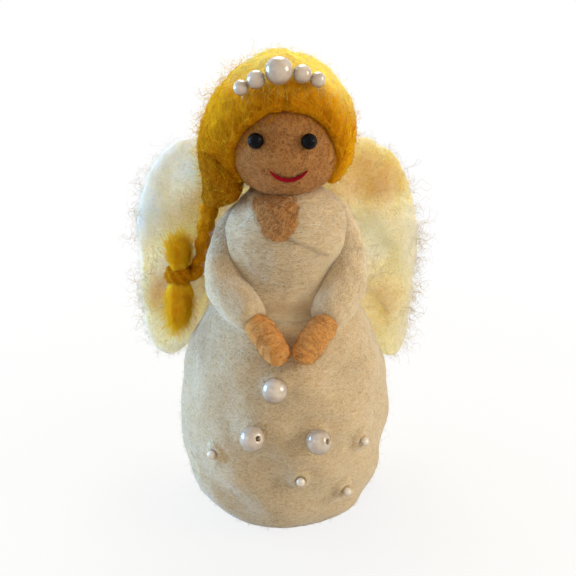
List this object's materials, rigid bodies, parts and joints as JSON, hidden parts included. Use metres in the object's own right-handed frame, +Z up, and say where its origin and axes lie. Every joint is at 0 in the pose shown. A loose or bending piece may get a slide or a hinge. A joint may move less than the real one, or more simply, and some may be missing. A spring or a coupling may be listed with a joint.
{
  "type": "angel doll",
  "caption": "Needle-felted wool angel doll with a bell skirt, wired arms, soft wings, a side braid and sewn pearl beads.",
  "frame": {"origin": "middle of the flat underside of the base disc", "axes": "+Z up along the body, -Y out of the face, so the doll's right hand is at -X"},
  "size_m": [0.0748, 0.0599, 0.1197],
  "materials": {
    "dress_wool": "matte felted wool",
    "core_wool": "coarse felted wool",
    "base_felt": "pressed felt",
    "skin_wool": "matte felted wool",
    "hair_wool": "combed wool",
    "wing_wool": "loose felted wool",
    "pearl": "pearl lustre",
    "eye_bead": "polished",
    "mouth_wool": "felted strand",
    "wire": "plain wire",
    "thread": "sewing thread"
  },
  "bodies": {
    "torso": {"skirt": "dress_wool", "bodice": "dress_wool", "body_core": "core_wool", "base_disc": "base_felt", "neck": "skin_wool", "chest_patch": "skin_wool", "shoulder_wire": "wire", "skirt_pearl_1": "pearl", "skirt_pearl_2": "pearl", "skirt_pearl_3": "pearl", "seed_pearl_4": "pearl", "seed_pearl_5": "pearl", "seed_pearl_6": "pearl", "seed_pearl_7": "pearl", "pearl_stitch_1": "thread", "pearl_stitch_2": "thread", "pearl_stitch_3": "thread", "pearl_stitch_4": "thread", "pearl_stitch_5": "thread", "pearl_stitch_6": "thread", "pearl_stitch_7": "thread"},
    "head": {"head_ball": "skin_wool", "hair_cap": "hair_wool", "side_lock": "hair_wool", "right_eye": "eye_bead", "left_eye": "eye_bead", "mouth": "mouth_wool", "tiara_thread": "thread", "tiara_pearl_1": "pearl", "tiara_pearl_2": "pearl", "tiara_pearl_3": "pearl", "tiara_pearl_4": "pearl", "tiara_pearl_5": "pearl"},
    "braid": {"braid_strand": "hair_wool", "braid_knot": "hair_wool", "braid_tuft": "hair_wool", "braid_tail": "hair_wool"},
    "right_upper_arm": {"right_upper_sleeve": "dress_wool", "right_upper_arm_wire": "wire"},
    "right_forearm": {"right_forearm_sleeve": "dress_wool", "right_hand": "skin_wool", "right_forearm_wire": "wire"},
    "right_wing": {"right_wing": "wing_wool"},
    "left_upper_arm": {"left_upper_sleeve": "dress_wool", "left_upper_arm_wire": "wire"},
    "left_forearm": {"left_forearm_sleeve": "dress_wool", "left_hand": "skin_wool", "left_forearm_wire": "wire"},
    "left_wing": {"left_wing": "wing_wool"}
  },
  "joints": [
    {"name": "head_turn", "type": "hinge", "parent": "torso", "child": "head", "pos_m": [0, 0, 0.0862], "axis": [0, 0, 1], "range_deg": [-10, 10], "stiffness_Nm_per_rad": 0.004},
    {"name": "braid_swing", "type": "hinge", "parent": "head", "child": "braid", "pos_m": [-0.01861, 0.00444, 0.08316], "axis": [0, 1, 0], "range_deg": [0, 25]},
    {"name": "right_shoulder", "type": "hinge", "parent": "torso", "child": "right_upper_arm", "pos_m": [-0.0148, 0.0005, 0.0772], "axis": [-1, 0, 0], "range_deg": [0, 60]},
    {"name": "right_elbow", "type": "hinge", "parent": "right_upper_arm", "child": "right_forearm", "pos_m": [-0.0162, -0.0065, 0.062], "axis": [0, 0, -1], "range_deg": [0, 40]},
    {"name": "right_wing_flex", "type": "hinge", "parent": "torso", "child": "right_wing", "pos_m": [-0.0024, 0.0123, 0.0665], "axis": [0, 0, -1], "range_deg": [0, 35], "stiffness_Nm_per_rad": 0.0015},
    {"name": "left_shoulder", "type": "hinge", "parent": "torso", "child": "left_upper_arm", "pos_m": [0.0148, 0.0005, 0.0772], "axis": [-1, 0, 0], "range_deg": [0, 60]},
    {"name": "left_elbow", "type": "hinge", "parent": "left_upper_arm", "child": "left_forearm", "pos_m": [0.0162, -0.0065, 0.062], "axis": [0, 0, 1], "range_deg": [0, 40]},
    {"name": "left_wing_flex", "type": "hinge", "parent": "torso", "child": "left_wing", "pos_m": [0.0024, 0.0123, 0.0665], "axis": [0, 0, 1], "range_deg": [0, 35], "stiffness_Nm_per_rad": 0.0015}
  ]
}
